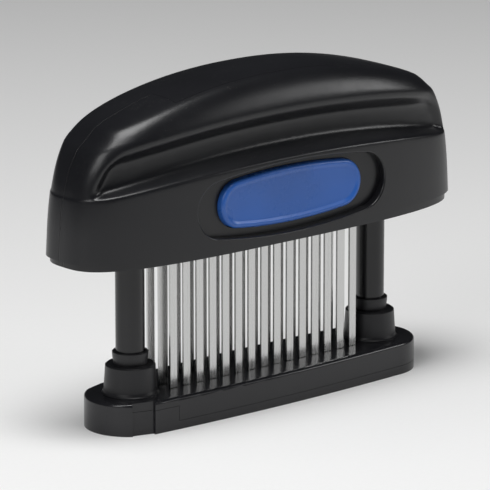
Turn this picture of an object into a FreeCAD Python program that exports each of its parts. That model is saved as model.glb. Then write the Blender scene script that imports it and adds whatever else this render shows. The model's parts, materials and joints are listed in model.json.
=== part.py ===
"""A push-down blade meat tenderizer: a slotted base on two columns, and a sprung grip that carries 45 blades.

Millimetres. X runs along the base, the button faces -Y, Z is up. The origin is on the table, under the middle of the base.
"""

import FreeCAD, Part
import math
import os

import Sketcher

Vec = FreeCAD.Vector
doc = FreeCAD.newDocument("blade_tenderizer")

# Driving dimensions, one named cell each
DIMENSIONS = {
    "base_half_length": 60.7,
    "base_end_radius": 13.2,
    "base_half_width": 14.8,
    "base_height": 9.8,
    "base_edge_round": 1.1,
    "plate_height": 2.7,
    "ear_height": 7.2,
    "ear_inner_x": 39.6,
    "ear_inner_y": 8.5,
    "notch_x": 48.2,
    "notch_y": 12.2,
    "notch_end_y": 9.9,
    "latch_x": 54.9,
    "latch_gap": 0.2,
    "latch_travel": 3.0,
    "tongue_reach": 4.0,
    "tongue_width": 4.0,
    "tongue_height": 1.6,
    "tongue_z": 4.6,
    "tongue_y": 5.6,
    "column_x": 46.9,
    "column_radius": 4.31,
    "column_bore": 3.1,
    "column_foot_z": 3.2,
    "column_floor_z": 6.4,
    "column_top_z": 59.0,
    "socket_foot_radius": 7.9,
    "flare": 0.6,
    "socket_top_radius": 7.4,
    "socket_top_z": 18.6,
    "flange_radius": 8.5,
    "flange_height": 1.2,
    "collar_radius": 5.35,
    "collar_foot_radius": 5.0,
    "collar_top_z": 22.45,
    "column_screw_head": 2.4,
    "column_screw_shank": 1.5,
    "stop_ring_radius": 6.0,
    "stop_ring_height": 1.6,
    "stop_ring_z": 57.0,
    "spring_wire": 0.7,
    "spring_radius": 2.3,
    "spring_turns": 20,
    "spring_clearance": 0.05,
    "button_spring_turns": 5,
    "lip_side": 0.05,
    "beyond": 25.0,
    "screw_head_room": 0.1,
    "screw_tip_y": 6.8,
    "screw_tip_room": 0.2,
    "screw_head_sink": 2.0,
    "collar_edge": 0.25,
    "spring_top_z": 57.6,
    "travel": 28.5,
    "grip_wall": 2.2,
    "grip_floor": 2.4,
    "grip_bottom_z": 51.6,
    "lip_height": 2.1,
    "lip_inset": 1.7,
    "lip_start_x": 58.0,
    "tongue_top_x": 38.0,
    "tongue_top_y": 10.5,
    "tongue_top_z": 92.0,
    "recess_half_length": 36.0,
    "recess_half_height": 10.5,
    "recess_end_radius": 8.5,
    "recess_z": 64.95,
    "recess_floor_y": 16.2,
    "recess_edge": 0.5,
    "recess_wall": 1.4,
    "button_half_length": 27.0,
    "button_half_height": 8.3,
    "button_end_radius": 7.2,
    "button_z": 65.3,
    "button_face_y": 18.3,
    "button_rim": 1.3,
    "button_dish": 0.3,
    "button_back_y": 12.4,
    "button_gap": 0.25,
    "button_travel": 2.2,
    "button_edge": 0.8,
    "button_flange": 1.2,
    "button_flange_height": 1.2,
    "peg_x": 32.0,
    "peg_radius": 1.4,
    "backplate_y": 8.4,
    "backplate_thickness": 1.0,
    "backplate_half_length": 34.0,
    "button_spring_x": 21.0,
    "button_spring_radius": 1.6,
    "button_spring_wire": 0.35,
    "bush_radius": 6.4,
    "bush_flange_radius": 7.2,
    "bush_flange_height": 1.4,
    "bush_bore": 4.36,
    "bush_top_z": 56.8,
    "post_radius": 2.3,
    "post_cap_radius": 5.0,
    "post_cap_height": 1.6,
    "post_top_z": 89.8,
    "post_bottom_z": 57.6,
    "blade_pitch": 5.0,
    "blade_row_pitch": 5.2,
    "blade_width": 2.5,
    "blade_thickness": 0.7,
    "blade_tip_z": 3.2,
    "blade_bevel": 2.2,
    "blade_head_width": 3.6,
    "blade_head_height": 2.0,
    "blade_head_z": 60.0,
    "blade_gap": 0.05,
    "slot_length": 3.2,
    "slot_width": 1.5,
    "cartridge_half_length": 39.4,
    "cartridge_half_width": 7.7,
    "cartridge_cap_height": 3.4,
    "cartridge_side_gap": 0.15,
    "stud_x": 12.0,
    "stud_radius": 1.5,
    "stud_head_radius": 2.6,
    "stud_head_height": 1.4,
    "slide_height": 1.2,
    "slide_gap": 0.3,
    "slide_half_length": 17.0,
    "slide_rear_y": 4.6,
    "shell_screw_radius": 1.3,
    "shell_screw_head": 2.4,
    "shell_screw_head_y": 9.0,
    "shell_screw_head_height": 1.8,
    "shell_boss_radius": 3.1,
    "shell_screw_low_x": 62.0,
    "shell_screw_low_z": 60.0,
    "shell_screw_high_x": 27.0,
    "shell_screw_high_z": 88.0,
    "seam_gap": 0.1,
}

# Grip sections from the bottom rim to the top line: height at mid-length, how far it arches down by 60 mm out,
# half length, half width, half width inside the finger groove, squareness of the outline, where the groove ends
GRIP_SECTIONS = {
    "rim": (51.6, 0.0, 73.0, 19.4, 19.4, 3.1, 68.6),
    "wall": (68.0, 2.32, 72.2, 19.17, 19.17, 3.1, 68.6),
    "under": (76.3, 3.5, 71.3, 19.05, 19.05, 3.1, 68.6),
    "ledge": (77.1, 3.6, 71.17, 19.0, 18.6, 3.1, 69.0),
    "foot": (80.4, 5.0, 70.8, 18.6, 13.6, 3.1, 68.9),
    "crease": (85.7, 4.8, 69.0, 17.8, 13.0, 3.3, 65.9),
    "brow": (90.6, 4.9, 66.2, 16.8, 16.8, 3.7, 62.0),
    "shoulder": (95.4, 6.9, 62.6, 15.4, 15.4, 4.2, 62.0),
    "crown": (100.4, 9.9, 59.3, 11.6, 11.6, 4.6, 62.0),
    "near_top": (101.7, 10.9, 57.6, 5.8, 5.8, 4.6, 62.0),
    "top": (101.9, 11.1, 56.5, 0.0, 0.0, 4.6, 62.0),
}
SECTION_FIELDS = ("z", "arch", "length", "width", "groove", "square", "end")
GROOVE_FADE = 5.2
ARCH_POWER = 2.16
ARCH_X = 60.0

sheet = doc.addObject("Spreadsheet::Sheet", "sizes")


def fill_sheet():
    """Writes every driving dimension into its own cell and names the cell."""
    cells = dict(DIMENSIONS)
    for level, values in GRIP_SECTIONS.items():
        for field, value in zip(SECTION_FIELDS, values):
            cells[f"grip_{level}_{field}"] = value
    for row, (name, value) in enumerate(cells.items(), start=1):
        sheet.set(f"A{row}", name)
        sheet.set(f"B{row}", str(value))
        sheet.setAlias(f"B{row}", name)
    doc.recompute()


fill_sheet()


def size(name):
    """The value of a named cell."""
    return float(sheet.get(name))


def bind(thing, **expressions):
    """Binds properties of an object to expressions; names in the sheet are written as they are."""
    for prop, expression in expressions.items():
        thing.setExpression(prop.replace("__", "."), cell(expression))


ALIASES = set(DIMENSIONS) | {f"grip_{level}_{field}" for level in GRIP_SECTIONS for field in SECTION_FIELDS}


def cell(expression):
    """Turns bare dimension names in an expression into references to the sheet."""
    words = []
    word = ""
    for letter in expression + " ":
        if letter.isalnum() or letter == "_":
            word += letter
            continue
        words.append(f"sizes.{word}" if word in ALIASES else word)
        words.append(letter)
        word = ""
    return "".join(words).strip()


def value_of(expression):
    """The present value of an expression on the sheet's dimensions."""
    return float(sheet.evalExpression(cell(expression)))


def new_body(label):
    """A PartDesign body that becomes one node."""
    body = doc.addObject("PartDesign::Body", label)
    body.Label = label
    return body


def origin_plane(body, role):
    """One of the body's own origin planes."""
    return next(f for f in body.Origin.OriginFeatures if f.Role == role)


def new_sketch(body, name, role, offset="0"):
    """A sketch on an origin plane, moved along the plane's normal by an expression."""
    sketch = body.newObject("Sketcher::SketchObject", name)
    sketch.AttachmentSupport = [(origin_plane(body, role), "")]
    sketch.MapMode = "FlatFace"
    if offset != "0":
        bind(sketch, AttachmentOffset__Base__z=offset)
    return sketch


def pin_point(sketch, geometry, corner, across, up=None):
    """Holds a point of the sketch at expressions measured from the sketch's origin."""
    for kind, expression in (("DistanceX", across), ("DistanceY", up)):
        if expression is None:
            continue
        number = value_of(expression)
        if abs(number) < 1e-9:
            line = -2 if kind == "DistanceX" else -1
            sketch.addConstraint(Sketcher.Constraint("PointOnObject", geometry, corner, line))
        elif number > 0:
            at = sketch.addConstraint(Sketcher.Constraint(kind, -1, 1, geometry, corner, number))
            sketch.setExpression(f"Constraints[{at}]", cell(expression))
        else:
            at = sketch.addConstraint(Sketcher.Constraint(kind, geometry, corner, -1, 1, -number))
            sketch.setExpression(f"Constraints[{at}]", cell(f"-({expression})"))


def draw_polygon(sketch, corners):
    """A closed polygon whose corners are pairs of expressions."""
    points = [Vec(value_of(a), value_of(b), 0) for a, b in corners]
    count = len(points)
    first = sketch.GeometryCount
    for i in range(count):
        sketch.addGeometry(Part.LineSegment(points[i], points[(i + 1) % count]), False)
    for i in range(count):
        after = first + (i + 1) % count
        sketch.addConstraint(Sketcher.Constraint("Coincident", first + i, 2, after, 1))
    for i, (across, up) in enumerate(corners):
        pin_point(sketch, first + i, 1, across, up)


def draw_rectangle(sketch, left, right, low, high):
    """A rectangle between four expressions."""
    draw_polygon(sketch, ((left, low), (right, low), (right, high), (left, high)))


def draw_circle(sketch, across, up, radius):
    """A circle with its centre and radius held by expressions."""
    centre = Vec(value_of(across), value_of(up), 0)
    at = sketch.addGeometry(Part.Circle(centre, Vec(0, 0, 1), value_of(radius)), False)
    pin_point(sketch, at, 3, across, up)
    held = sketch.addConstraint(Sketcher.Constraint("Radius", at, value_of(radius)))
    sketch.setExpression(f"Constraints[{held}]", cell(radius))


def oval_measures(half_length, half_height, end_radius):
    """Half distance between the end arcs' centres, radius of the long arcs, and the angle where they meet."""
    reach = half_length - end_radius
    long_radius = (reach**2 + half_height**2 - end_radius**2) / (2 * (half_height - end_radius))
    return reach, long_radius, math.atan2(long_radius - half_height, reach)


def draw_oval(sketch, centre_up, half_length, half_height, end_radius):
    """An oval along the sketch's X: two tight end arcs and two long arcs, smooth where they meet."""
    low_half, high_half, ends = f"({half_length})", f"({half_height})", f"({end_radius})"
    radius, middle = value_of(ends), value_of(centre_up)
    reach, long_radius, turn = oval_measures(value_of(low_half), value_of(high_half), radius)
    drop = long_radius - value_of(high_half)
    span = f"({low_half} - {ends})"
    long_text = f"({span}^2 + {high_half}^2 - {ends}^2) / (2 * ({high_half} - {ends}))"
    arcs = (
        (Vec(reach, middle, 0), radius, -turn, turn),
        (Vec(0, middle - drop, 0), long_radius, turn, math.pi - turn),
        (Vec(-reach, middle, 0), radius, math.pi - turn, math.pi + turn),
        (Vec(0, middle + drop, 0), long_radius, math.pi + turn, 2 * math.pi - turn),
    )
    drawn = []
    for centre, bend, start, end in arcs:
        circle = Part.Circle(centre, Vec(0, 0, 1), bend)
        drawn.append(sketch.addGeometry(Part.ArcOfCircle(circle, start, end), False))
    for this, following in zip(drawn, drawn[1:] + drawn[:1]):
        sketch.addConstraint(Sketcher.Constraint("Tangent", this, 2, following, 1))
    for sign, at in ((1, drawn[0]), (-1, drawn[2])):
        pin_point(sketch, at, 3, f"{sign} * {span}", centre_up)
        pin_radius(sketch, at, radius, ends)
    for at in (drawn[1], drawn[3]):
        pin_radius(sketch, at, long_radius, long_text)


def pin_radius(sketch, geometry, radius, expression):
    """Sets a circle's or arc's radius by an expression."""
    at = sketch.addConstraint(Sketcher.Constraint("Radius", geometry, radius))
    sketch.setExpression(f"Constraints[{at}]", cell(expression))


def pad(body, sketch, length, name="pad", reverse=False):
    """Pads a sketch by an expression."""
    feature = body.newObject("PartDesign::Pad", name)
    feature.Profile = sketch
    feature.Reversed = reverse
    bind(feature, Length=length)
    doc.recompute()
    return feature


def pocket(body, sketch, length, name="pocket", reverse=False):
    """Pockets a sketch by an expression and makes sure that something was cut."""
    before = body.Shape.Volume
    feature = body.newObject("PartDesign::Pocket", name)
    feature.Profile = sketch
    feature.Reversed = reverse
    bind(feature, Length=length)
    doc.recompute()
    if body.Shape.Volume > before - 1e-6:
        raise RuntimeError(f"{body.Label}: {name} cuts nothing")
    return feature


def revolve(body, sketch, name="turned"):
    """Turns a sketch on the XZ plane a full round about Z."""
    feature = body.newObject("PartDesign::Revolution", name)
    feature.Profile = sketch
    feature.ReferenceAxis = (sketch, ["V_Axis"])
    feature.Angle = 360
    doc.recompute()
    return feature


def round_edges(body, feature, edges, radius, name="rounded"):
    """Rounds named edges of the last feature."""
    fillet = body.newObject("PartDesign::Fillet", name)
    fillet.Base = (feature, edges)
    bind(fillet, Radius=radius)
    doc.recompute()
    return fillet


def edges_where(shape, test):
    """The names of the edges whose bounding box passes a test."""
    return [f"Edge{i}" for i, edge in enumerate(shape.Edges, start=1) if test(edge.BoundBox)]


def draw_base_outline(sketch):
    """The base's plan: two round ends joined by slightly bowed sides."""
    end_x = size("base_half_length") - size("base_end_radius")
    radius = size("base_end_radius")
    half_width = size("base_half_width")
    ends = []
    for sign in (1, -1):
        start = math.radians(-90 if sign > 0 else 90)
        circle = Part.Circle(Vec(sign * end_x, 0, 0), Vec(0, 0, 1), radius)
        at = sketch.addGeometry(Part.ArcOfCircle(circle, start, start + math.pi), False)
        centre_x = f"{sign} * (base_half_length - base_end_radius)"
        pin_point(sketch, at, 3, centre_x, "0")
        pin_point(sketch, at, 1, centre_x, f"{-sign} * base_end_radius")
        pin_point(sketch, at, 2, centre_x)
        ends.append(at)
    right, left = ends
    for sign, start_end, finish_end in ((1, right, left), (-1, left, right)):
        side = Part.Arc(
            Vec(sign * end_x, sign * radius, 0),
            Vec(0, sign * half_width, 0),
            Vec(-sign * end_x, sign * radius, 0),
        )
        at = sketch.addGeometry(side, False)
        sketch.addConstraint(Sketcher.Constraint("Coincident", start_end, 2, at, 1))
        sketch.addConstraint(Sketcher.Constraint("Coincident", at, 2, finish_end, 1))
        bow = half_width - radius
        side_radius = (end_x**2 + bow**2) / (2 * bow)
        held = sketch.addConstraint(Sketcher.Constraint("Radius", at, side_radius))
        rise = "(base_half_width - base_end_radius)"
        reach = "(base_half_length - base_end_radius)"
        sketch.setExpression(
            f"Constraints[{held}]", cell(f"({reach} ^ 2 + {rise} ^ 2) / (2 * {rise})")
        )


def base_pad(body, low, high):
    """A slab of the base's plan between two heights."""
    sketch = new_sketch(body, body.Label + "_plan", "XY_Plane", low)
    draw_base_outline(sketch)
    return pad(body, sketch, f"({high}) - ({low})", body.Label + "_slab")


def cut_box(body, name, left, right, front, back, low, high):
    """Pockets a box out of a body, from its top height downwards."""
    sketch = new_sketch(body, f"{body.Label}_{name}", "XY_Plane", high)
    draw_rectangle(sketch, left, right, front, back)
    return pocket(body, sketch, f"({high}) - ({low})", f"{body.Label}_{name}_cut")


def cut_slots(body, low, high, name="slots"):
    """Forty-five blade slots: three in a sketch, one for each row, repeated along X."""
    sketch = new_sketch(body, f"{body.Label}_{name}", "XY_Plane", high)
    first = "(-7 * blade_pitch)"
    for row in (-1, 0, 1):
        draw_rectangle(
            sketch,
            f"{first} - slot_length / 2",
            f"{first} + slot_length / 2",
            f"{row} * blade_row_pitch - slot_width / 2",
            f"{row} * blade_row_pitch + slot_width / 2",
        )
    cut = pocket(body, sketch, f"({high}) - ({low})", f"{body.Label}_{name}_cut")
    pattern = body.newObject("PartDesign::LinearPattern", f"{body.Label}_{name}_row")
    pattern.Originals = [cut]
    pattern.Direction = (sketch, ["H_Axis"])
    pattern.Occurrences = 15
    bind(pattern, Length="14 * blade_pitch")
    body.Tip = pattern
    doc.recompute()
    return pattern


def bore(body, name, across, along, radius, low, high):
    """A round hole along Z between two heights."""
    sketch = new_sketch(body, f"{body.Label}_{name}", "XY_Plane", high)
    draw_circle(sketch, across, along, radius)
    return pocket(body, sketch, f"({high}) - ({low})", f"{body.Label}_{name}_cut")


def cut_notches(body, high):
    """The two slanted notches beside the latch, from the floor up to a height."""
    sketch = new_sketch(body, "notches", "XY_Plane")
    for sign in (-1, 1):
        draw_polygon(sketch, (
            ("-notch_x", f"{sign} * notch_y"),
            ("-notch_x", f"{sign} * base_half_width * 1.2"),
            ("-latch_x - 1", f"{sign} * base_half_width * 1.2"),
            ("-latch_x - 1", f"{sign} * notch_end_y"),
        ))
    pocket(body, sketch, high, "notches_cut", reverse=True)


def make_base_frame():
    """The upper moulding of the base: slots, column seats, and room for the plate's ears and the latch."""
    body = new_body("base_frame")
    slab = base_pad(body, "plate_height", "base_height")
    top = size("base_height")
    rim = edges_where(slab.Shape, lambda box: box.ZMin > top - 0.01 and box.ZMax < top + 0.01)
    round_edges(body, slab, rim, "base_edge_round")
    for side, pair in (("front", ("-beyond", "-ear_inner_y")), ("back", ("ear_inner_y", "beyond"))):
        cut_box(body, f"{side}_ear", "-latch_x - 1", "-ear_inner_x", *pair, "0", "ear_height")
    cut_notches(body, "base_height")
    cut_box(body, "latch_room", "-base_half_length - 1", "-latch_x + latch_gap", "-beyond", "beyond", "0", "base_height")
    cut_slots(body, "0", "base_height")
    for sign, side in ((-1, "left"), (1, "right")):
        bore(body, f"{side}_seat", f"{sign} * column_x", "0", "column_radius", "column_foot_z", "base_height")
    for sign, side in ((-1, "front"), (1, "back")):
        near = f"{sign} * tongue_y - tongue_width / 2 - latch_gap"
        far = f"{sign} * tongue_y + tongue_width / 2 + latch_gap"
        cut_box(
            body, f"{side}_tongue_way", "-latch_x - 1", "-latch_x + tongue_reach + 2 * latch_gap",
            near, far, "tongue_z - latch_gap", "tongue_z + tongue_height + latch_gap",
        )
    for sign, side in ((-1, "left"), (1, "right")):
        bore(body, f"{side}_screw_way", f"{sign} * column_x", "0", "column_screw_shank", "0", "column_foot_z")


def make_base_plate():
    """The removable lower plate, slotted for the blades, with two raised ears behind the latch."""
    body = new_body("base_plate")
    base_pad(body, "0", "ear_height - seam_gap")
    above = ("plate_height - seam_gap", "ear_height + 1")
    cut_box(body, "main_step", "-ear_inner_x - seam_gap", "base_half_length + 1", "-beyond", "beyond", *above)
    inner = "ear_inner_y + seam_gap"
    cut_box(body, "between_ears", "-base_half_length - 1", "-ear_inner_x", f"-({inner})", inner, *above)
    cut_notches(body, "ear_height")
    cut_slots(body, "-1", "plate_height")
    cut_box(body, "latch_room", "-base_half_length - 1", "-latch_x + latch_gap", "-beyond", "beyond", "-1", "ear_height + 1")
    for sign, side in ((-1, "left"), (1, "right")):
        bore(
            body, f"{side}_screw_room", f"{sign} * column_x", "0",
            "column_screw_head + latch_gap", "0.8", "plate_height",
        )


def make_end_latch():
    """The cap at the left end: a segment of the base's plan with two tongues that run under the frame."""
    body = new_body("end_latch")
    slab = base_pad(body, "0", "base_height")
    top = size("base_height")
    rim = edges_where(slab.Shape, lambda box: box.ZMin > top - 0.01 and box.ZMax < top + 0.01)
    round_edges(body, slab, rim, "base_edge_round")
    cut_box(body, "rest", "-latch_x", "base_half_length + 1", "-beyond", "beyond", "-1", "base_height + 1")
    sketch = new_sketch(body, "tongues", "XY_Plane", "tongue_z")
    for sign in (-1, 1):
        draw_rectangle(
            sketch, "-latch_x - 1", "-latch_x + tongue_reach",
            f"{sign} * tongue_y - tongue_width / 2", f"{sign} * tongue_y + tongue_width / 2",
        )
    pad(body, sketch, "tongue_height", "tongue_pad")
    bore(body, "flange_room", "-column_x", "0", "flange_radius + latch_gap", "base_height - 1", "base_height + 1")


def turned_piece(label, corners, across="0", along="0"):
    """A body turned about Z from a half section of (radius, height) pairs, then put in place."""
    body = new_body(label)
    sketch = new_sketch(body, label + "_section", "XZ_Plane")
    draw_polygon(sketch, corners)
    revolve(body, sketch, label + "_turned")
    bind(body, Placement__Base__x=across, Placement__Base__y=along)
    return body


def make_column_set(side, sign):
    """One column with its socket, collar, stop ring, guide bush and spring post."""
    across = f"{sign} * column_x"
    turned_piece(f"{side}_socket", (
        ("column_radius", "base_height"),
        ("flange_radius", "base_height"),
        ("flange_radius", "base_height + 0.15 * flange_height"),
        ("flange_radius - 0.6 * flare", "base_height + 0.4 * flange_height"),
        ("socket_foot_radius", "base_height + flange_height"),
        ("socket_top_radius", "socket_top_z - 0.4"),
        ("socket_top_radius - 0.5", "socket_top_z"),
        ("column_radius", "socket_top_z"),
    ), across)
    turned_piece(f"{side}_collar", (
        ("column_radius", "socket_top_z"),
        ("collar_foot_radius", "socket_top_z"),
        ("collar_radius", "collar_top_z - 1"),
        ("collar_radius", "collar_top_z - collar_edge"),
        ("collar_radius - collar_edge", "collar_top_z"),
        ("column_radius", "collar_top_z"),
    ), across)
    turned_piece(f"{side}_column", (
        ("column_screw_shank", "column_foot_z"),
        ("column_radius", "column_foot_z"),
        ("column_radius", "column_top_z"),
        ("column_bore", "column_top_z"),
        ("column_bore", "column_floor_z"),
        ("column_screw_shank", "column_floor_z"),
    ), across)
    turned_piece(f"{side}_stop_ring", (
        ("column_radius", "stop_ring_z"),
        ("stop_ring_radius", "stop_ring_z"),
        ("stop_ring_radius", "stop_ring_z + stop_ring_height"),
        ("column_radius", "stop_ring_z + stop_ring_height"),
    ), across)
    turned_piece(f"{side}_guide_bush", (
        ("bush_bore", "grip_bottom_z + 0.2"),
        ("bush_radius", "grip_bottom_z + 0.2"),
        ("bush_radius", "grip_bottom_z + grip_floor"),
        ("bush_flange_radius", "grip_bottom_z + grip_floor"),
        ("bush_flange_radius", "grip_bottom_z + grip_floor + bush_flange_height"),
        ("bush_radius", "grip_bottom_z + grip_floor + bush_flange_height"),
        ("bush_radius", "bush_top_z"),
        ("bush_bore", "bush_top_z"),
    ), across)
    turned_piece(f"{side}_spring_post", (
        ("0", "post_bottom_z"),
        ("post_radius", "post_bottom_z"),
        ("post_radius", "post_top_z - post_cap_height"),
        ("post_cap_radius", "post_top_z - post_cap_height"),
        ("post_cap_radius", "post_top_z"),
        ("0", "post_top_z"),
    ), across)


def cylinder(label, radius, height, across="0", along="0", up="0", turn=None):
    """A bound cylinder along Z, or along Y when it is turned."""
    thing = doc.addObject("Part::Cylinder", label)
    if turn is not None:
        thing.Placement.Rotation = FreeCAD.Rotation(Vec(1, 0, 0), turn)
    bind(thing, Radius=radius, Height=height)
    bind(thing, Placement__Base__x=across, Placement__Base__y=along, Placement__Base__z=up)
    return thing


def block(label, left, right, front, back, low, high):
    """A bound box between six expressions."""
    thing = doc.addObject("Part::Box", label)
    bind(thing, Length=f"({right}) - ({left})", Width=f"({back}) - ({front})", Height=f"({high}) - ({low})")
    bind(thing, Placement__Base__x=left, Placement__Base__y=front, Placement__Base__z=low)
    return thing


def fused(label, pieces):
    """One object from several that touch or overlap."""
    thing = doc.addObject("Part::MultiFuse", label)
    thing.Shapes = pieces
    return thing


def together(label, pieces):
    """Several solids kept apart in one node."""
    thing = doc.addObject("Part::Compound", label)
    thing.Links = pieces
    return thing


def minus(label, base, tools):
    """An object less several others."""
    tool = tools[0] if len(tools) == 1 else fused(label + "_tools", tools)
    thing = doc.addObject("Part::Cut", label)
    thing.Base = base
    thing.Tool = tool
    return thing


def make_column_screws():
    """Two screws that hold the columns to the base frame from below."""
    screws = []
    for sign, side in ((-1, "left"), (1, "right")):
        across = f"{sign} * column_x"
        head = cylinder(f"{side}_screw_head", "column_screw_head", "1.4", across, "0", "plate_height - 1.6")
        shank = cylinder(
            f"{side}_screw_shank", "column_screw_shank", "column_floor_z - plate_height + 0.2",
            across, "0", "plate_height - 0.2",
        )
        screws.append(fused(f"{side}_column_screw", [head, shank]))
    together("column_screws", screws)


def blade_outline(row):
    """One blade: a narrow strip with a chisel tip below and a wider head above."""
    half = size("blade_width") / 2
    head = size("blade_head_width") / 2
    head_z = size("blade_head_z")
    top_z = head_z + size("blade_head_height")
    tip_z = size("blade_tip_z")
    bevel_z = tip_z + size("blade_bevel")
    thick = size("blade_thickness")
    front = row * size("blade_row_pitch") - thick / 2
    corners = (
        (-half, tip_z), (half, bevel_z), (half, head_z), (head, head_z),
        (head, top_z), (-head, top_z), (-head, head_z), (-half, head_z),
    )
    wire = Part.makePolygon([Vec(x, front, z) for x, z in corners + corners[:1]])
    return Part.Face(wire).extrude(Vec(0, thick, 0))


def make_blade_row(label, row):
    """Fifteen blades on one line."""
    blade = blade_outline(row)
    blades = []
    for i in range(-7, 8):
        copy = blade.copy()
        copy.translate(Vec(i * size("blade_pitch"), 0, 0))
        blades.append(copy)
    node = doc.addObject("Part::Feature", label)
    node.Shape = Part.makeCompound(blades)


def make_cartridge():
    """The blade cartridge: a slotted body, a cap with two catch studs, and four screws."""
    low, high = "grip_bottom_z + 0.3", "blade_head_z"
    reach, width = "cartridge_half_length", "cartridge_half_width"
    body = block("cartridge_block", f"-{reach}", reach, f"-{width}", width, low, high)
    slots = []
    cap_grooves = []
    for row in (-1, 0, 1):
        front = f"{row} * blade_row_pitch - blade_thickness / 2 - blade_gap"
        back = f"{row} * blade_row_pitch + blade_thickness / 2 + blade_gap"
        for i in range(-7, 8):
            slots.append(block(
                f"cartridge_slot_{row + 1}_{i + 7}",
                f"{i} * blade_pitch - blade_width / 2 - blade_gap",
                f"{i} * blade_pitch + blade_width / 2 + blade_gap",
                front, back, "grip_bottom_z - 1", "blade_head_z + 1",
            ))
        cap_grooves.append(block(
            f"cap_groove_{row + 1}", "-7 * blade_pitch - blade_head_width / 2 - blade_gap",
            "7 * blade_pitch + blade_head_width / 2 + blade_gap",
            front, back, "blade_head_z - 1", "blade_head_z + blade_head_height + blade_gap",
        ))
    cap_top = "blade_head_z + cartridge_cap_height"
    cap = block("cap_block", f"-{reach}", reach, f"-{width}", width, "blade_head_z", cap_top)
    studs = []
    for sign in (-1, 1):
        across = f"{sign} * stud_x"
        neck = "slide_height + 2 * slide_gap"
        studs.append(cylinder(f"stud_neck_{sign + 1}", "stud_radius", neck, across, "0", cap_top))
        studs.append(cylinder(
            f"stud_head_{sign + 1}", "stud_head_radius", "stud_head_height",
            across, "0", f"{cap_top} + {neck}",
        ))
    capped = minus("cap_grooved", cap, cap_grooves)
    screws, body_holes, cap_holes = [], [], []
    for x_sign in (-1, 1):
        for y_sign in (-1, 1):
            name = f"{x_sign + 1}{y_sign + 1}"
            across = f"{x_sign} * (cartridge_half_length - 1.4)"
            along = f"{y_sign} * blade_row_pitch / 2"
            head = cylinder(f"cap_screw_head_{name}", "1.3", "1", across, along, f"{cap_top} - 1")
            shank = cylinder(f"cap_screw_shank_{name}", "0.8", "6", across, along, f"{cap_top} - 6.5")
            screws.append(fused(f"cartridge_screw_{name}", [head, shank]))
            body_holes.append(cylinder(f"screw_hole_{name}", "0.8", "4", across, along, f"{cap_top} - 6.5"))
            cap_holes.append(cylinder(f"cap_hole_{name}", "0.8", "6", across, along, f"{cap_top} - 5"))
            cap_holes.append(cylinder(f"cap_sink_{name}", "1.3", "2", across, along, f"{cap_top} - 1"))
    minus("cartridge_body", body, slots + body_holes)
    minus("cartridge_cap", fused("cap_with_studs", [capped] + studs), cap_holes)
    together("cartridge_screws", screws)


def oval_body(label, centre_up, half_length, half_height, end_radius, near, far):
    """An oval slug along Y between two depths, given as distances in front of the middle."""
    body = new_body(label)
    sketch = new_sketch(body, label + "_outline", "XZ_Plane", near)
    draw_oval(sketch, centre_up, half_length, half_height, end_radius)
    feature = pad(body, sketch, f"({far}) - ({near})", label + "_pad")
    return body, feature


def make_button():
    """The blank oval release button, its slide with two keyhole slots, and two return springs."""
    back, face = "button_back_y", "button_face_y"
    body, feature = oval_body(
        "release_button", "button_z", "button_half_length", "button_half_height", "button_end_radius", back, face,
    )
    front = -size("button_face_y")
    rim = edges_where(feature.Shape, lambda box: box.YMax < front + 0.01)
    round_edges(body, feature, rim, "button_edge")
    dish = new_sketch(body, "dish_outline", "XZ_Plane", face)
    rim = "button_rim"
    draw_oval(
        dish, "button_z", f"button_half_length - {rim}", f"button_half_height - {rim}", f"button_end_radius - {rim}",
    )
    pocket(body, dish, "button_dish", "dish_cut", reverse=False)
    sketch = new_sketch(body, "flange_outline", "XZ_Plane", back)
    lip = "button_flange"
    draw_oval(
        sketch, "button_z", f"button_half_length + {lip}", f"button_half_height + {lip}", f"button_end_radius + {lip}",
    )
    pad(body, sketch, "button_flange_height", "flange_pad")
    for sign in (-1, 1):
        seat = new_sketch(body, f"spring_seat_{sign + 1}", "XZ_Plane", back)
        draw_circle(seat, f"{sign} * button_spring_x", "button_z", "button_spring_radius + 0.6")
        pocket(body, seat, "2", f"spring_seat_cut_{sign + 1}", reverse=True)


def make_slide():
    """A flat catch plate behind the button; it holds the cartridge's studs until the button is pushed."""
    low = "blade_head_z + cartridge_cap_height + slide_gap"
    high = f"{low} + slide_height"
    plate = block("slide_plate", "-slide_half_length", "slide_half_length", "-button_back_y", "slide_rear_y", low, high)
    ways = []
    for sign in (-1, 1):
        across = f"{sign} * stud_x"
        ways.append(block(
            f"key_slot_{sign + 1}", f"{across} - stud_radius - 0.3", f"{across} + stud_radius + 0.3",
            "-button_travel - 0.5", "stud_radius + 0.3", f"{low} - 1", f"{high} + 1",
        ))
        ways.append(cylinder(
            f"key_hole_{sign + 1}", "stud_head_radius + 0.25", "slide_height + 2",
            across, "-button_travel - 0.5", f"{low} - 1",
        ))
    minus("latch_slide", plate, ways)


def make_backplate():
    """The plate behind the button that the return springs push against."""
    body, feature = oval_body(
        "button_backplate", "button_z", "backplate_half_length", "button_half_height + button_flange",
        "button_end_radius", "backplate_y", "backplate_y + backplate_thickness",
    )
    sketch = new_sketch(body, "slide_way", "XZ_Plane", "backplate_y - 1")
    low = "blade_head_z + cartridge_cap_height + slide_gap"
    draw_rectangle(
        sketch, "-slide_half_length - slide_gap", "slide_half_length + slide_gap",
        f"{low} - 0.2", f"{low} + slide_height + 0.2",
    )
    pocket(body, sketch, "backplate_thickness + 2", "slide_way_cut", reverse=True)


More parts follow.
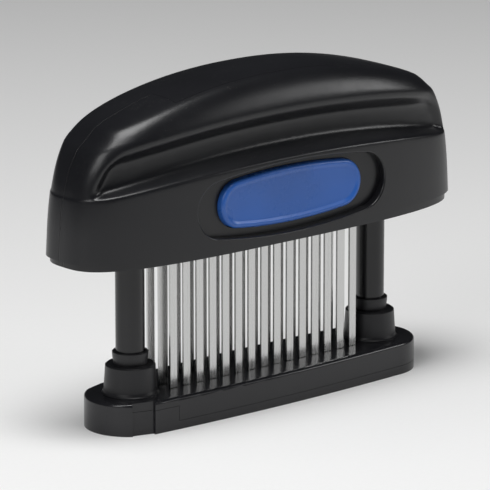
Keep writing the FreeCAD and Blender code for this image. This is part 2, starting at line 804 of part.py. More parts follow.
def arcs_between(start, start_way, end, end_way):
    """Two arcs that leave one point and reach another along given directions, tangent where they meet."""
    span = end - start
    ways = start_way + end_way
    square = 2 * (start_way.dot(end_way) - 1)
    middle = -2 * span.dot(ways)
    reach = (-middle - math.sqrt(middle**2 - 4 * square * span.dot(span))) / (2 * square)
    corners = (start + start_way * reach, end - end_way * reach)
    joint = (corners[0] + corners[1]) * 0.5
    arcs = []
    for first, corner, last in ((start, corners[0], joint), (joint, corners[1], end)):
        chord = (last - first).Length
        half_turn = math.acos(min(1.0, chord / (2 * reach)))
        rise = chord / 2 * math.tan(half_turn / 2)
        centre = (first + last) * 0.5
        outward = corner - centre
        arcs.append(Part.Arc(first, centre + outward * (rise / outward.Length), last).toShape())
    return arcs


def coil(centre, axis, radius, wire, length, turns):
    """A coil spring between two wire centres: one unbroken tube along arcs of half a turn each."""
    across = axis.cross(Vec(1, 0, 0))
    across.normalize()
    other = axis.cross(across)
    rise = length / (2 * math.pi * turns)
    steps = 2 * turns

    def point(angle):
        return centre + across * (radius * math.cos(angle)) + other * (radius * math.sin(angle)) + axis * (rise * angle)

    def way(angle):
        direction = other * (radius * math.cos(angle)) - across * (radius * math.sin(angle)) + axis * rise
        return direction.normalize()

    edges = []
    for i in range(steps):
        a, b = math.pi * i, math.pi * (i + 1)
        edges += arcs_between(point(a), way(a), point(b), way(b))
    profile = Part.Wire([Part.Circle(point(0), way(0), wire / 2).toShape()])
    shell = Part.BRepOffsetAPI.MakePipeShell(Part.Wire(edges))
    shell.add(profile)
    shell.build()
    shell.makeSolid()
    return shell.shape()


def make_springs():
    """The two return springs in the columns, and the two small ones behind the button."""
    wire, radius = size("spring_wire"), size("spring_radius")
    foot = size("column_floor_z") + wire / 2 + size("spring_clearance")
    head = size("spring_top_z") - wire / 2 - size("spring_clearance")
    for sign, side in ((-1, "left"), (1, "right")):
        node = doc.addObject("Part::Feature", f"{side}_return_spring")
        centre = Vec(sign * size("column_x"), 0, foot)
        node.Shape = coil(centre, Vec(0, 0, 1), radius, wire, head - foot, int(size("spring_turns")))
    wire, radius = size("button_spring_wire"), size("button_spring_radius")
    near = size("backplate_y") + size("backplate_thickness") + wire / 2 + size("spring_clearance")
    far = size("button_back_y") + 2 - wire / 2 - size("spring_clearance")
    springs = []
    for sign in (-1, 1):
        centre = Vec(sign * size("button_spring_x"), -near, size("button_z"))
        springs.append(coil(centre, Vec(0, -1, 0), radius, wire, far - near, int(size("button_spring_turns"))))
    node = doc.addObject("Part::Feature", "button_springs")
    node.Shape = Part.makeCompound(springs)


def steady_slopes(places, heights):
    """Slopes at the points of a curve that rises or falls between them without overshoot."""
    steps = [(heights[i + 1] - heights[i]) / (places[i + 1] - places[i]) for i in range(len(places) - 1)]
    slopes = [steps[0]]
    for before, after in zip(steps, steps[1:]):
        slopes.append(0.0 if before * after <= 0 else 2 * before * after / (before + after))
    return slopes + [steps[-1]]


def between(places, heights, slopes, at):
    """The height of that curve at a place, by cubic pieces."""
    i = 0
    while i < len(places) - 2 and at > places[i + 1]:
        i += 1
    width = places[i + 1] - places[i]
    t = (at - places[i]) / width
    rise = (2 * t**3 - 3 * t**2 + 1) * heights[i] + (3 * t**2 - 2 * t**3) * heights[i + 1]
    return rise + width * ((t**3 - 2 * t**2 + t) * slopes[i] + (t**3 - t**2) * slopes[i + 1])


def ease(t):
    """Nought to one with level ends."""
    t = min(1.0, max(0.0, t))
    return t * t * (3 - 2 * t)


def even_knots(count, degree=3):
    """Multiplicities and knots of an evenly spaced curve that starts and ends on its first and last points."""
    knots = count - degree + 1
    return [degree + 1] + [1] * (knots - 2) + [degree + 1], [float(i) for i in range(knots)]


def grip_half(inset=0.0, bottom=None):
    """The front half of the grip's solid: one surface through rounded outlines, closed by the middle plane.

    A row of points is a rounded outline at one height, flattened along X by its squareness. It bows down
    towards the ends, and between the ends its width drops into the finger groove. Inset makes the inner
    surface, drawn in by the wall's thickness.
    """
    levels = list(GRIP_SECTIONS)
    table = {field: [size(f"grip_{level}_{field}") for level in levels] for field in SECTION_FIELDS}
    if bottom is not None:
        table["z"][0] = bottom
    for i, level in enumerate(levels):
        table["length"][i] -= inset
        table["width"][i] = max(0.0, table["width"][i] - inset)
        table["groove"][i] = max(0.0, table["groove"][i] - inset)
        if i > 0 and level != "crease":
            table["z"][i] -= inset
    places = [float(i) for i in range(len(levels))]
    slopes = {field: steady_slopes(places, heights) for field, heights in table.items()}
    counts = (3, 3, 2, 4, 5, 5, 5, 5, 3, 4)
    steps = [i + j / count for i, count in enumerate(counts) for j in range(count)] + [places[-1]]
    around = 84
    rows = []
    for step in steps:
        now = {field: between(places, table[field], slopes[field], step) for field in SECTION_FIELDS}
        row = []
        for k in range(around + 1):
            angle = math.pi * k / around
            c, s = math.cos(angle), math.sin(angle)
            reach = (abs(c) ** now["square"] + abs(s) ** now["square"]) ** (-1 / now["square"])
            x = now["length"] * reach * c
            inside = 1 - ease((abs(x) + inset - now["end"]) / GROOVE_FADE + 1)
            half = now["width"] - (now["width"] - now["groove"]) * inside
            y = 0.0 if k in (0, around) else -half * reach * s
            row.append(Vec(x, y, now["z"] - now["arch"] * abs(x / ARCH_X) ** ARCH_POWER))
        rows.append(row)
    surface = Part.BSplineSurface()
    row_marks, row_knots = even_knots(len(rows))
    point_marks, point_knots = even_knots(len(rows[0]))
    surface.buildFromPolesMultsKnots(rows, row_marks, point_marks, row_knots, point_knots, False, False, 3, 3)
    skin = surface.toShape()
    flat = [edge for edge in skin.Edges if abs(edge.BoundBox.YMin) < 1e-6 and abs(edge.BoundBox.YMax) < 1e-6]
    rim = next(edge for edge in skin.Edges if edge.BoundBox.YMin < -5 and edge.BoundBox.ZMax < rows[1][0].z)
    chord = Part.makeLine(rows[0][0], rows[0][-1])
    middle = Part.Face(Part.Wire(Part.__sortEdges__(flat + [chord])))
    floor = Part.Face(Part.Wire(Part.__sortEdges__([rim, chord])))
    shell = Part.Shell([skin, middle, floor])
    shell.sewShape()
    solid = Part.Solid(Part.Shell(shell.Faces))
    if solid.Volume < 0:
        solid.reverse()
    return solid


def box_solid(left, right, front, back, low, high):
    """A plain box between six numbers."""
    return Part.makeBox(right - left, back - front, high - low, Vec(left, front, low))


def along_y(x, z, radius, front, back):
    """A round bar along Y."""
    return Part.makeCylinder(radius, back - front, Vec(x, front, z), Vec(0, 1, 0))


def oval_slug(centre_z, half_length, half_height, end_radius, front, back):
    """An oval slug along Y: two tight end arcs and two long arcs."""
    reach, long_radius, turn = oval_measures(half_length, half_height, end_radius)
    across, up = reach + end_radius * math.cos(turn), end_radius * math.sin(turn)

    def at(x, z):
        return Vec(x, front, centre_z + z)

    edges = [
        Part.Arc(at(across, -up), at(half_length, 0), at(across, up)).toShape(),
        Part.Arc(at(across, up), at(0, half_height), at(-across, up)).toShape(),
        Part.Arc(at(-across, up), at(-half_length, 0), at(-across, -up)).toShape(),
        Part.Arc(at(-across, -up), at(0, -half_height), at(across, -up)).toShape(),
    ]
    return Part.Face(Part.Wire(edges)).extrude(Vec(0, back - front, 0))


def rounded_prism(half_length, half_width, square, low, high, count=72):
    """An upright prism whose plan is a rounded outline of a given squareness."""
    points = []
    for k in range(count):
        angle = 2 * math.pi * k / count
        c, s = math.cos(angle), math.sin(angle)
        reach = (abs(c) ** square + abs(s) ** square) ** (-1 / square)
        points.append(Vec(half_length * reach * c, half_width * reach * s, low))
    curve = Part.BSplineCurve()
    curve.interpolate(points, True)
    return Part.Face(Part.Wire([curve.toShape()])).extrude(Vec(0, 0, high - low))


def edges_touching(shape, tool, deepest):
    """Edges of a shape that lie on a tool's surface, all in front of a depth."""
    found = []
    for edge in shape.Edges:
        points = edge.discretize(5)
        if all(point.y < deepest and tool.distToShape(Part.Vertex(point))[0] < 0.01 for point in points):
            found.append(edge)
    return found


def screw_places():
    """X and Z of the four screws that join the two half shells."""
    low_x, low_z = size("shell_screw_low_x"), size("shell_screw_low_z")
    high_x, high_z = size("shell_screw_high_x"), size("shell_screw_high_z")
    return [(-low_x, low_z), (low_x, low_z), (-high_x, high_z), (high_x, high_z)]


def make_shells():
    """The two half shells of the grip, hollow, with a floor, bosses, and the button's recess in front."""
    beyond = size("beyond")
    outer = grip_half()
    inner = grip_half(size("grip_wall"), size("grip_bottom_z") + size("grip_floor"))
    bottom = size("grip_bottom_z")
    rim_square = size("grip_rim_square")
    lip_top = bottom + size("lip_height")
    ring = rounded_prism(4 * beyond, 2 * beyond, rim_square, bottom - 1, lip_top)
    inset_length = size("grip_rim_length") - size("lip_inset")
    lip = rounded_prism(inset_length, size("grip_rim_width") + size("lip_side"), rim_square, bottom - 2, lip_top + 1)
    outer = outer.cut(ring.cut(lip))
    side_gap = size("cartridge_side_gap")
    half_length = size("cartridge_half_length") + side_gap
    half_width = size("cartridge_half_width") + side_gap
    floor_top = bottom + size("grip_floor")
    openings = [box_solid(-half_length, half_length, -half_width, half_width, bottom - 1, floor_top + 1)]
    column_x, top_pads = size("column_x"), []
    cap = size("post_cap_radius")
    for sign in (-1, 1):
        x = sign * column_x
        openings.append(Part.makeCylinder(size("bush_radius"), size("grip_floor") + 2, Vec(x, 0, bottom - 1)))
        top_pads.append(box_solid(x - cap, x + cap, -cap, cap, size("post_top_z"), size("post_top_z") + beyond))
    bosses = [along_y(x, z, size("shell_boss_radius"), -beyond, 0) for x, z in screw_places()]
    inside = [piece.common(inner) for piece in top_pads + bosses]
    half = outer.cut(inner)
    for piece in inside:
        half = half.fuse(piece)
    for piece in openings:
        half = half.cut(piece)
    rear = half.mirror(Vec(0, 0, 0), Vec(0, 1, 0))

    tongue = box_solid(
        -size("tongue_top_x"), size("tongue_top_x"), -size("tongue_top_y"), 0,
        size("tongue_top_z"), size("grip_top_z") + 5,
    )
    rear = rear.fuse(half.common(tongue))
    gap = size("seam_gap")
    tongue_room = box_solid(
        -size("tongue_top_x") - gap, size("tongue_top_x") + gap, -size("tongue_top_y") - gap, 0,
        size("tongue_top_z") - gap, size("grip_top_z") + 5,
    )
    front = half.cut(tongue_room)

    floor_y = -size("recess_floor_y")
    recess_z = size("recess_z")
    long, tall = size("recess_half_length"), size("recess_half_height")
    behind = -size("button_back_y") - size("button_flange_height")
    button_z = size("button_z")
    gap = size("button_gap")
    wall = size("recess_wall")
    ends = size("recess_end_radius")
    tub = oval_slug(recess_z, long + wall, tall + wall, ends + wall, floor_y - wall, behind - gap).common(outer)
    recess = oval_slug(recess_z, long, tall, ends, -beyond, floor_y)
    button = [size("button_half_length") + gap, size("button_half_height") + gap, size("button_end_radius") + gap]
    hole = oval_slug(button_z, *button, -beyond, 0)
    front = front.fuse(tub).cut(recess)
    mouth = edges_touching(front, recess, floor_y - 1)
    front = front.makeFillet(size("recess_edge"), mouth).cut(hole)
    for sign in (-1, 1):
        peg = along_y(sign * size("peg_x"), button_z, size("peg_radius"), floor_y + 1, -size("backplate_y") - 1)
        front = front.fuse(peg)
    flange = size("button_flange")
    flange_room = oval_slug(button_z, *[half + flange for half in button], behind - gap, -1)
    front = front.cut(flange_room)

    seat_y = size("shell_screw_head_y") - size("screw_head_sink")
    head, shank, tip = size("shell_screw_head"), size("shell_screw_radius"), -size("screw_tip_y")
    screws = []
    for x, z in screw_places():
        rear = rear.cut(along_y(x, z, head + size("screw_head_room"), seat_y, beyond))
        rear = rear.cut(along_y(x, z, shank, -1, beyond))
        front = front.cut(along_y(x, z, shank, tip - size("screw_tip_room"), 1))
        screw_head = along_y(x, z, head, seat_y, seat_y + size("shell_screw_head_height"))
        screws.append(screw_head.fuse(along_y(x, z, shank, tip, seat_y)).removeSplitter())
    for label, shape in (("front_shell", front), ("rear_shell", rear)):
        node = doc.addObject("Part::Feature", label)
        node.Shape = shape.removeSplitter()
    node = doc.addObject("Part::Feature", "shell_screws")
    node.Shape = Part.makeCompound(screws)


make_base_frame()
make_base_plate()
make_end_latch()
for side, sign in (("left", -1), ("right", 1)):
    make_column_set(side, sign)
make_column_screws()
make_cartridge()
for row_name, row in (("front", -1), ("middle", 0), ("rear", 1)):
    make_blade_row(f"{row_name}_blade_row", row)
make_button()
make_slide()
make_backplate()
make_springs()
make_shells()
doc.recompute()

NODES = [
    "base_frame", "base_plate", "end_latch", "column_screws",
    *[f"{side}_{piece}" for side in ("left", "right") for piece in (
        "socket", "collar", "column", "stop_ring", "guide_bush", "spring_post", "return_spring",
    )],
    "front_shell", "rear_shell", "shell_screws",
    "cartridge_body", "cartridge_cap", "cartridge_screws",
    "front_blade_row", "middle_blade_row", "rear_blade_row",
    "release_button", "latch_slide", "button_backplate", "button_springs",
]

for thing in doc.Objects:
    if "Invalid" in thing.State or "Error" in thing.State:
        raise RuntimeError(f"{thing.Label} did not compute: {thing.State}")

nodes = {name: doc.getObjectsByLabel(name)[0] for name in NODES}
for name, node in nodes.items():
    if node.Shape.isNull() or not node.Shape.isValid():
        raise RuntimeError(f"{name} has no valid shape")

os.makedirs("parts", exist_ok=True)
for name, node in nodes.items():
    box = node.Shape.BoundBox
    node.Shape.exportStep(f"parts/{name}.step")
    print(f"{name}: {len(node.Shape.Solids)} solid(s), {node.Shape.Volume:.0f} mm3, z {box.ZMin:.1f} to {box.ZMax:.1f}")
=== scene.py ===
"""Blade meat tenderizer: finishes, a fine release button, floor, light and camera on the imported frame."""
import json
import math

import bmesh
import bpy
import numpy as np
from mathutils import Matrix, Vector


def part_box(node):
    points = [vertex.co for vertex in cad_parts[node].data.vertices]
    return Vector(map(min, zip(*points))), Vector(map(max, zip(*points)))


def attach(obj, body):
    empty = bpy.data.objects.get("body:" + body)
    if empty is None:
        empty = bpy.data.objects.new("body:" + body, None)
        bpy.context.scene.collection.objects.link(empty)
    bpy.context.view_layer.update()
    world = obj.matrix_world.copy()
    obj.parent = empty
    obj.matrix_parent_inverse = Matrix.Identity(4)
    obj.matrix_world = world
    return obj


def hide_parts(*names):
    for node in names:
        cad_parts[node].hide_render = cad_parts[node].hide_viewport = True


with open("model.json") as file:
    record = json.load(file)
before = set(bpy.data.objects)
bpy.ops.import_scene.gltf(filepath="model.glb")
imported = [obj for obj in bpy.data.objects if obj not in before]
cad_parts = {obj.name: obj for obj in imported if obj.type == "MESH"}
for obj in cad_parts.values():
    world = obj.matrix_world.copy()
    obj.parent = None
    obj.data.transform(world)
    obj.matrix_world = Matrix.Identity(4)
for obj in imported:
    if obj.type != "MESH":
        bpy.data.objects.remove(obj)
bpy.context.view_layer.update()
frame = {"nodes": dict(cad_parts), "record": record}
nodes = frame["nodes"]


def effect_group(name, inputs, outputs):
    """A shader group with named sockets: each input has a kind and a default, each output a kind."""
    tree = bpy.data.node_groups.new(name, "ShaderNodeTree")
    for label, kind, default in inputs:
        socket = tree.interface.new_socket(label, in_out="INPUT", socket_type=f"NodeSocket{kind}")
        socket.default_value = default
    for label, kind in outputs:
        tree.interface.new_socket(label, in_out="OUTPUT", socket_type=f"NodeSocket{kind}")
    return tree, tree.nodes.new("NodeGroupInput"), tree.nodes.new("NodeGroupOutput")


def join(tree, start, end):
    """Links an output to an input."""
    tree.links.new(start, end)


def noise(tree, place, scale, detail=3.0, rough=0.5):
    """Noise over a place, with about scale cells to the metre."""
    node = tree.nodes.new("ShaderNodeTexNoise")
    node.inputs["Scale"].default_value = scale
    node.inputs["Detail"].default_value = detail
    node.inputs["Roughness"].default_value = rough
    join(tree, place, node.inputs["Vector"])
    return node.outputs["Fac"]


def remap(tree, value, low, high, to_low=0.0, to_high=1.0):
    """A value carried smoothly from one span to another, held at its ends."""
    node = tree.nodes.new("ShaderNodeMapRange")
    node.interpolation_type = "SMOOTHSTEP"
    node.inputs["From Min"].default_value = low
    node.inputs["From Max"].default_value = high
    node.inputs["To Min"].default_value = to_low
    node.inputs["To Max"].default_value = to_high
    join(tree, value, node.inputs["Value"])
    return node.outputs["Result"]


def calc(tree, operation, first, second=0.0):
    """One sum on numbers or outputs."""
    node = tree.nodes.new("ShaderNodeMath")
    node.operation = operation
    for socket, value in zip(node.inputs, (first, second)):
        if isinstance(value, (int, float)):
            socket.default_value = value
        else:
            join(tree, value, socket)
    return node.outputs["Value"]


def moulded_group():
    """Fine pitting, slow gloss variation and faint handling marks of a moulded plastic."""
    tree, start, end = effect_group(
        "moulded_surface",
        [("Gloss Low", "Float", 0.25), ("Gloss High", "Float", 0.4), ("Pit Depth", "Float", 0.1)],
        [("Roughness", "Float"), ("Shade", "Float"), ("Normal", "Vector")],
    )
    place = tree.nodes.new("ShaderNodeTexCoord").outputs["Object"]
    slow = noise(tree, place, 38.0, 2.0)
    fine = noise(tree, place, 1900.0, 2.0, 0.6)
    marks = noise(tree, place, 240.0, 5.0, 0.7)
    mixed = calc(tree, "MULTIPLY", slow, 0.7)
    smear = remap(tree, marks, 0.45, 0.75)
    total = calc(tree, "ADD", mixed, calc(tree, "MULTIPLY", smear, 0.3))
    span = calc(tree, "SUBTRACT", start.outputs["Gloss High"], start.outputs["Gloss Low"])
    rough = calc(tree, "ADD", start.outputs["Gloss Low"], calc(tree, "MULTIPLY", span, total))
    join(tree, rough, end.inputs["Roughness"])
    join(tree, remap(tree, slow, 0.3, 0.7, 0.9, 1.1), end.inputs["Shade"])
    bump = tree.nodes.new("ShaderNodeBump")
    bump.inputs["Distance"].default_value = 0.0001
    join(tree, start.outputs["Pit Depth"], bump.inputs["Strength"])
    join(tree, fine, bump.inputs["Height"])
    join(tree, bump.outputs["Normal"], end.inputs["Normal"])
    return tree


def settled_dust_group():
    """Fine pale specks where a face looks up: noise above a threshold, weighed by the normal's rise."""
    tree, start, end = effect_group("settled_dust", [("Amount", "Float", 0.3)], [("Mask", "Float")])
    place = tree.nodes.new("ShaderNodeTexCoord").outputs["Object"]
    specks = remap(tree, noise(tree, place, 2600.0, 1.0, 0.4), 0.66, 0.8)
    patches = remap(tree, noise(tree, place, 90.0, 3.0, 0.6), 0.42, 0.7)
    parts = tree.nodes.new("ShaderNodeSeparateXYZ")
    join(tree, tree.nodes.new("ShaderNodeNewGeometry").outputs["Normal"], parts.inputs["Vector"])
    upward = remap(tree, parts.outputs["Z"], -0.1, 0.9)
    mask = calc(tree, "MULTIPLY", calc(tree, "MULTIPLY", specks, patches), upward)
    join(tree, calc(tree, "MULTIPLY", mask, start.outputs["Amount"]), end.inputs["Mask"])
    return tree


def seam_dent_and_painted_shade_group():
    """A narrow mask along the half shells' seam, for a dent and a painted shade line: one at Place on the Y
    axis, none at Width from it, and only beyond Clear in X.
    """
    tree, start, end = effect_group(
        "seam_dent_and_painted_shade",
        [("Place", "Float", 0.0), ("Width", "Float", 0.00025), ("Clear", "Float", 0.0)],
        [("Mask", "Float")],
    )
    parts = tree.nodes.new("ShaderNodeSeparateXYZ")
    join(tree, tree.nodes.new("ShaderNodeTexCoord").outputs["Object"], parts.inputs["Vector"])
    away = calc(tree, "ABSOLUTE", calc(tree, "SUBTRACT", parts.outputs["Y"], start.outputs["Place"]))
    near = calc(tree, "SUBTRACT", 1.0, calc(tree, "DIVIDE", away, start.outputs["Width"]))
    outside = calc(tree, "GREATER_THAN", calc(tree, "ABSOLUTE", parts.outputs["X"]), start.outputs["Clear"])
    join(tree, calc(tree, "MULTIPLY", calc(tree, "MAXIMUM", near), outside), end.inputs["Mask"])
    return tree


DUST_COLOUR = (0.35, 0.34, 0.32, 1.0)
PLASTIC_IOR = 1.46
moulded = moulded_group()
settled_dust = settled_dust_group()
seam_dent_and_painted_shade = seam_dent_and_painted_shade_group()


def principled(name):
    """A new material, its nodes and its shader."""
    material = bpy.data.materials.new(name)
    material.use_nodes = True
    return material, material.node_tree, material.node_tree.nodes["Principled BSDF"]


def tinted(tree, colour, strength):
    """A colour scaled by a value that varies over the surface."""
    node = tree.nodes.new("ShaderNodeVectorMath")
    node.operation = "SCALE"
    node.inputs[0].default_value = colour
    join(tree, strength, node.inputs["Scale"])
    return node.outputs["Vector"]


def placed(tree, effect, **values):
    """An effect group in a material, with values for its inputs by name."""
    group = tree.nodes.new("ShaderNodeGroup")
    group.node_tree = effect
    for label, value in values.items():
        group.inputs[label.replace("_", " ")].default_value = value
    return group


def plastic(name, colour, gloss, pits=0.12, dust=0.25, seam=None):
    """Moulded plastic: shade and gloss vary slowly, dust settles, and along a seam a dent and a painted shade
    line stand for the gap between the half shells.
    """
    material, tree, shader = principled(name)
    group = placed(tree, moulded, Gloss_Low=gloss[0], Gloss_High=gloss[1], Pit_Depth=pits)
    shade, normal = group.outputs["Shade"], group.outputs["Normal"]
    if seam is not None:
        place, width, clear = seam
        line = placed(tree, seam_dent_and_painted_shade, Place=place, Width=width, Clear=clear).outputs["Mask"]
        # painted shade: the colour along the seam is darkened to 0.3, standing in for the shadow in the gap
        # between the half shells; the dent below is a bump
        shade = calc(tree, "MULTIPLY", shade, remap(tree, line, 0.0, 1.0, 1.0, 0.3))
        dent = tree.nodes.new("ShaderNodeBump")
        dent.invert = True
        dent.inputs["Strength"].default_value = 0.8
        dent.inputs["Distance"].default_value = 0.0003
        join(tree, line, dent.inputs["Height"])
        join(tree, normal, dent.inputs["Normal"])
        normal = dent.outputs["Normal"]
    specks = placed(tree, settled_dust, Amount=dust).outputs["Mask"]
    mix = tree.nodes.new("ShaderNodeMix")
    mix.data_type = "RGBA"
    mix.inputs["B"].default_value = DUST_COLOUR
    join(tree, specks, mix.inputs["Factor"])
    join(tree, tinted(tree, colour, shade), mix.inputs["A"])
    join(tree, mix.outputs["Result"], shader.inputs["Base Color"])
    join(tree, group.outputs["Roughness"], shader.inputs["Roughness"])
    join(tree, normal, shader.inputs["Normal"])
    shader.inputs["IOR"].default_value = PLASTIC_IOR
    return material


def steel(name, colour, gloss, grain=(3.0, 900.0, 900.0)):
    """Steel with a fine grain drawn along one direction."""
    material, tree, shader = principled(name)
    place = tree.nodes.new("ShaderNodeTexCoord").outputs["Object"]
    stretch = tree.nodes.new("ShaderNodeMapping")
    stretch.inputs["Scale"].default_value = grain
    join(tree, place, stretch.inputs["Vector"])
    lines = noise(tree, stretch.outputs["Vector"], 1.0, 3.0, 0.6)
    join(tree, remap(tree, lines, 0.3, 0.7, *gloss), shader.inputs["Roughness"])
    join(tree, tinted(tree, colour, remap(tree, lines, 0.3, 0.7, 0.93, 1.0)), shader.inputs["Base Color"])
    shader.inputs["Metallic"].default_value = 1.0
    bump = tree.nodes.new("ShaderNodeBump")
    bump.inputs["Strength"].default_value = 0.15
    bump.inputs["Distance"].default_value = 0.00005
    join(tree, lines, bump.inputs["Height"])
    join(tree, bump.outputs["Normal"], shader.inputs["Normal"])
    return material


# place on Y, half width and the clear half length of the two half shells' seam, in metres
SHELL_SEAM = (0.0, 0.0002, 0.0385)
FINISH = {
    "housing_plastic": plastic("housing_black", (0.008, 0.0082, 0.0098), (0.26, 0.38), 0.12, 0.2, SHELL_SEAM),
    "base_plastic": plastic("base_black", (0.012, 0.012, 0.014), (0.16, 0.26), 0.06),
    "column_plastic": plastic("column_black", (0.009, 0.009, 0.0105), (0.2, 0.3), 0.06),
    "inner_plastic": plastic("inner_black", (0.014, 0.014, 0.016), (0.35, 0.5)),
    "blue_plastic": plastic("button_blue", (0.027, 0.115, 0.43), (0.24, 0.34), 0.08, 0.1),
    "white_plastic": plastic("inner_white", (0.66, 0.66, 0.64), (0.4, 0.55)),
    "blade_steel": steel("blade_steel", (0.6, 0.6, 0.595), (0.16, 0.3), (900.0, 900.0, 6.0)),
    "spring_steel": steel("spring_steel", (0.62, 0.62, 0.64), (0.2, 0.35)),
    "screw_steel": steel("screw_steel", (0.55, 0.55, 0.57), (0.25, 0.4)),
}
for part in frame["record"]["subparts"]:
    node = nodes[part["node"]]
    node.data.materials.clear()
    node.data.materials.append(FINISH[part["material_slot"]])


def aim(thing, target):
    """Turns a lamp or camera so that it looks at a point."""
    way = np.array(target) - np.array(thing.location)
    flat = math.hypot(way[0], way[1])
    thing.rotation_euler = (math.pi / 2 + math.atan2(way[2], flat), 0.0, math.atan2(-way[0], way[1]))


LIT_HEIGHT = 0.06


def lamp(name, azimuth, elevation, distance, across, up, strength, glossy=True):
    """A soft lamp aimed at the object. Azimuth 0 is +Y and 90 is +X; strength is how bright its face is."""
    data = bpy.data.lights.new(name, "AREA")
    data.shape = "RECTANGLE"
    data.size, data.size_y = across, up
    data.energy = math.pi * across * up * strength
    thing = bpy.data.objects.new(name, data)
    bpy.context.scene.collection.objects.link(thing)
    turn, rise = math.radians(azimuth), math.radians(elevation)
    flat = distance * math.cos(rise)
    thing.location = (flat * math.sin(turn), flat * math.cos(turn), LIT_HEIGHT + distance * math.sin(rise))
    aim(thing, (0.0, 0.0, LIT_HEIGHT))
    thing.visible_glossy = glossy


def make_floor():
    """A level pale disc: rings of points around the object, closed at the middle. Its colour is darkened far
    behind, a painted shade for the light's falloff.
    """
    nearest, farthest, rings, spokes = 0.05, 4.0, 30, 96
    out = np.concatenate([[0.0], np.geomspace(nearest, farthest, rings)])
    turn = np.linspace(0.0, 2 * math.pi, spokes + 1)
    x, y = out[:, None] * np.cos(turn), out[:, None] * np.sin(turn)
    floor = grid_piece("studio_floor", np.stack([x, y, np.zeros_like(x)], -1))
    material, tree, shader = principled("studio_paper")
    place = tree.nodes.new("ShaderNodeTexCoord").outputs["Object"]
    depth = tree.nodes.new("ShaderNodeVectorMath")
    depth.operation = "DOT_PRODUCT"
    depth.inputs[1].default_value = (0.648, 0.762, 0.0)
    join(tree, place, depth.inputs[0])
    # painted shade: the paper's colour falls to 0.76 far behind the object, standing in for the light's falloff
    painted_falloff_shade = remap(tree, depth.outputs["Value"], -0.1, 0.9, 1.0, 0.76)
    painted_falloff_shade.node.interpolation_type = "LINEAR"
    grain = remap(tree, noise(tree, place, 700.0), 0.2, 0.8, 0.985, 1.0)
    paper = tinted(tree, (0.86, 0.86, 0.856), calc(tree, "MULTIPLY", painted_falloff_shade, grain))
    join(tree, paper, shader.inputs["Base Color"])
    shader.inputs["Roughness"].default_value = 0.55
    shader.inputs["Specular IOR Level"].default_value = 0.3
    floor.data.materials.append(material)


def grid_piece(name, points):
    """A mesh object from a rows-by-columns array of points, one four-sided face between neighbours."""
    rows, columns = points.shape[:2]
    index = np.arange(rows * columns).reshape(rows, columns)
    faces = np.stack([index[:-1, :-1], index[:-1, 1:], index[1:, 1:], index[1:, :-1]], -1).reshape(-1, 4)
    mesh = bpy.data.meshes.new(name)
    mesh.from_pydata(points.reshape(-1, 3), [], faces.tolist())
    mesh.shade_smooth()
    piece = bpy.data.objects.new(name, mesh)
    bpy.context.scene.collection.objects.link(piece)
    return piece


OFFSET_SHARE = 0.8


def oval_rings(half_length, half_height, end_radius, insets, count=48):
    """Rings inside an oval of two tight end arcs and two long arcs that meet smoothly.

    A ring is the oval moved inwards along its normal by the inset. Where the inset passes most of the end
    radius, the ring slides on towards the oval's middle line, so the last one closes on that line.
    """
    reach = half_length - end_radius
    long_radius = (reach**2 + half_height**2 - end_radius**2) / (2 * (half_height - end_radius))
    turn = math.atan2(long_radius - half_height, reach)
    tight = np.linspace(0.0, turn, count // 2, endpoint=False)
    wide = np.linspace(turn, math.pi / 2, count)
    tight_centre = np.tile([reach, 0.0], (tight.size, 1))
    wide_centre = np.tile([0.0, half_height - long_radius], (wide.size, 1))
    centre = np.concatenate([tight_centre, wide_centre])
    radius = np.concatenate([np.full(tight.size, end_radius), np.full(wide.size, long_radius)])
    angle = np.concatenate([tight, wide])
    normal = np.stack([np.cos(angle), np.sin(angle)], -1)
    quarter = np.concatenate([centre + radius[:, None] * normal, normal], -1)
    half = np.concatenate([quarter, quarter[-2::-1] * (-1, 1, -1, 1)])
    whole = np.concatenate([half, half[-2:0:-1] * (1, -1, 1, -1)])
    whole = np.concatenate([whole, whole[:1]])
    edge, normal = whole[:, :2], whole[:, 2:]
    insets = np.asarray(insets)[:, None, None]
    limit = OFFSET_SHARE * end_radius
    ring = edge - normal * np.minimum(insets, limit)
    past = np.clip((insets - limit) / (half_height - limit), 0.0, 1.0)
    middle = np.stack([np.clip(edge[:, 0], -reach, reach), np.zeros(len(edge))], -1)
    return ring * (1 - past) + middle * past


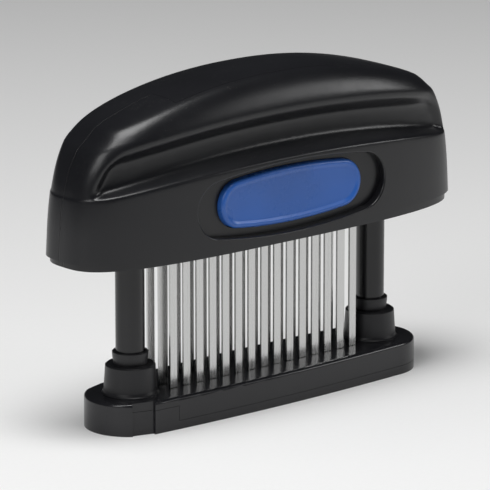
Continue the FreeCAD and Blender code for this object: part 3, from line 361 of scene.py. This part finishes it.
def make_button():
    """The release button: a flange, straight sides, a rounded raised rim and a slightly hollow bare face.

    The profile runs from the middle of the back out over the flange and in again to the middle of the face.
    Its depth follows the inset: a quarter circle at the edge, then a cosine step down, then a shallow bowl.
    """
    low, high = np.array(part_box("release_button"))
    lip, flange, edge, rim = 0.00115, 0.0012, 0.0011, 0.0024
    hollow, bowl_depth, back_ring = 0.00045, 0.00015, 0.004
    half_length, half_height = (high[0] - low[0]) / 2 - lip, (high[2] - low[2]) / 2 - lip
    end_radius, back, face = 0.0072, high[1], low[1]
    bend = np.linspace(0.0, math.pi / 2, 9)
    step = np.linspace(0.0, math.pi, 9)[1:]
    bowl = np.linspace(0.0, 1.0, 14)[1:]
    insets = np.concatenate([
        [half_height, back_ring, -lip, -lip, 0.0],
        edge * (1 - np.cos(bend)), edge + (rim - edge) * step / math.pi, rim + (half_height - rim) * bowl,
    ])
    depths = np.concatenate([
        [back, back, back, back - flange, back - flange],
        face + edge * (1 - np.sin(bend)), face + hollow * (1 - np.cos(step)) / 2,
        face + hollow + bowl_depth * (1 - (1 - bowl) ** 2),
    ])
    flat = oval_rings(half_length, half_height, end_radius, insets)
    depth = np.broadcast_to(depths[:, None], flat.shape[:2])
    middle = (high[2] + low[2]) / 2
    return solid_piece("release_button_cap", np.stack([flat[..., 0], depth, flat[..., 1] + middle], -1))


def solid_piece(name, points):
    """A closed grid piece: doubles on its seam and middle lines are merged and its faces turned outwards."""
    piece = grid_piece(name, points)
    shape = bmesh.new()
    shape.from_mesh(piece.data)
    bmesh.ops.remove_doubles(shape, verts=shape.verts, dist=1e-7)
    bmesh.ops.dissolve_degenerate(shape, edges=shape.edges, dist=1e-8)
    bmesh.ops.recalc_face_normals(shape, faces=shape.faces)
    shape.to_mesh(piece.data)
    shape.free()
    piece.data.shade_smooth()
    return piece


make_floor()
cap = make_button()
cap.data.materials.append(FINISH["blue_plastic"])
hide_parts("release_button")
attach(cap, "button")

scene = bpy.context.scene
world = bpy.data.worlds.new("studio")
scene.world = world
world.use_nodes = True
sky = world.node_tree
backing = sky.nodes["Background"]
seen = sky.nodes.new("ShaderNodeLightPath").outputs["Is Camera Ray"]
tone = sky.nodes.new("ShaderNodeMix")
tone.data_type = "RGBA"
tone.inputs["A"].default_value = (0.024, 0.025, 0.027, 1.0)
tone.inputs["B"].default_value = (0.68, 0.69, 0.71, 1.0)
join(sky, seen, tone.inputs["Factor"])
join(sky, tone.outputs["Result"], backing.inputs["Color"])

lamp("overhead_box", 225, 81, 1.3, 0.8, 0.65, 9.6)
lamp("right_box", 127, 20, 1.2, 0.4, 0.3, 5.5)
lamp("left_box", 250, 33, 1.2, 0.5, 0.45, 4.4)
lamp("fill", 290, 50, 1.6, 1.4, 1.4, 0.9, glossy=False)

camera_data = bpy.data.cameras.new("photo_camera")
camera_data.lens = 324.6
camera_data.sensor_width = 36.0
camera_data.clip_end = 20.0
camera = bpy.data.objects.new("photo_camera", camera_data)
scene.collection.objects.link(camera)
camera.location = (-0.8228, -0.9671, 0.3789)
aim(camera, (-0.00298, 0.0, 0.04664))
scene.camera = camera
scene.view_settings.view_transform = "Standard"
